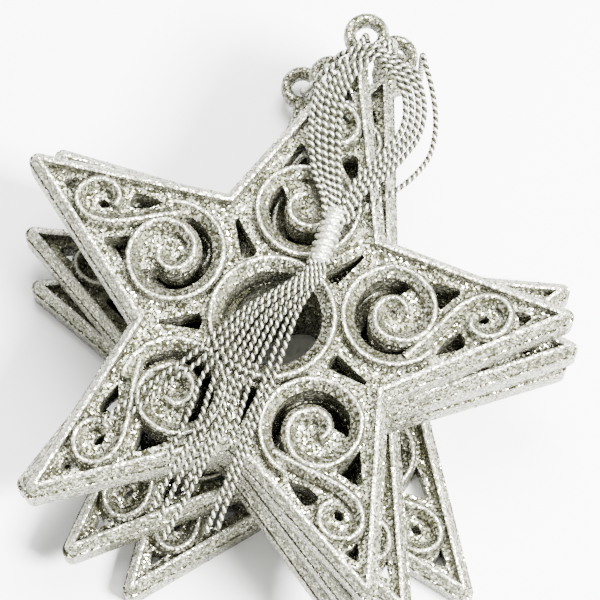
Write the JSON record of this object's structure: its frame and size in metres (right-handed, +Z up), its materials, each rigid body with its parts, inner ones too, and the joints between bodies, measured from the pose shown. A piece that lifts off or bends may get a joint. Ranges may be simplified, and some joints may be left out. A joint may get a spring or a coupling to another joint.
{
  "type": "star ornament bunch",
  "caption": "Bunch of openwork star hanging ornaments with a glitter finish, each on its own cord loop, tied together in one knot and lying in a fanned stack.",
  "frame": {"origin": "middle of the stack of stars, on the floor it lies on", "axes": "+Z up through the flat stack; +Y towards the hanging rings and the cord loops; +X to the right of that"},
  "size_m": [0.0978, 0.1071, 0.044],
  "materials": {
    "glitter_1": "moulded plastic covered in fine silver glitter",
    "glitter_2": "moulded plastic covered in fine silver glitter",
    "glitter_3": "moulded plastic covered in fine silver glitter",
    "glitter_4": "moulded plastic covered in fine silver glitter",
    "glitter_5": "moulded plastic covered in fine silver glitter",
    "metallic_cord": "thin twisted cord with a silver metallic thread",
    "knot_cord": "wrapped turns of the same silver cord"
  },
  "bodies": {
    "top_star": {"star_1": "glitter_1", "hanger_knot": "knot_cord", "hanger_loop_1": "metallic_cord", "hanger_loop_2": "metallic_cord", "hanger_loop_3": "metallic_cord", "hanger_loop_4": "metallic_cord", "hanger_loop_5": "metallic_cord", "hanger_tail_1": "metallic_cord", "hanger_tail_2": "metallic_cord", "hanger_tail_3": "metallic_cord", "hanger_tail_4": "metallic_cord", "hanger_tail_5": "metallic_cord", "hanger_tail_6": "metallic_cord", "hanger_tail_7": "metallic_cord", "hanger_tail_8": "metallic_cord", "hanger_tail_9": "metallic_cord", "hanger_tail_10": "metallic_cord"},
    "second_star": {"star_2": "glitter_2"},
    "third_star": {"star_3": "glitter_3"},
    "fourth_star": {"star_4": "glitter_4"},
    "bottom_star": {"star_5": "glitter_5"}
  },
  "joints": [
    {"name": "second_star_swing", "type": "hinge", "parent": "top_star", "child": "second_star", "pos_m": [0.01683, 0.0461, 0.0309], "axis": [0, 0, 1], "range_deg": [-10, 12]},
    {"name": "third_star_swing", "type": "hinge", "parent": "top_star", "child": "third_star", "pos_m": [0.01683, 0.04609, 0.0231], "axis": [0, 0, 1], "range_deg": [-15, 15]},
    {"name": "fourth_star_swing", "type": "hinge", "parent": "top_star", "child": "fourth_star", "pos_m": [0.00571, 0.04872, 0.0153], "axis": [0, 0, 1], "range_deg": [-5, 15]},
    {"name": "bottom_star_swing", "type": "hinge", "parent": "top_star", "child": "bottom_star", "pos_m": [0.00064, 0.04975, 0.0075], "axis": [0, 0, 1], "range_deg": [-14, 25]}
  ]
}
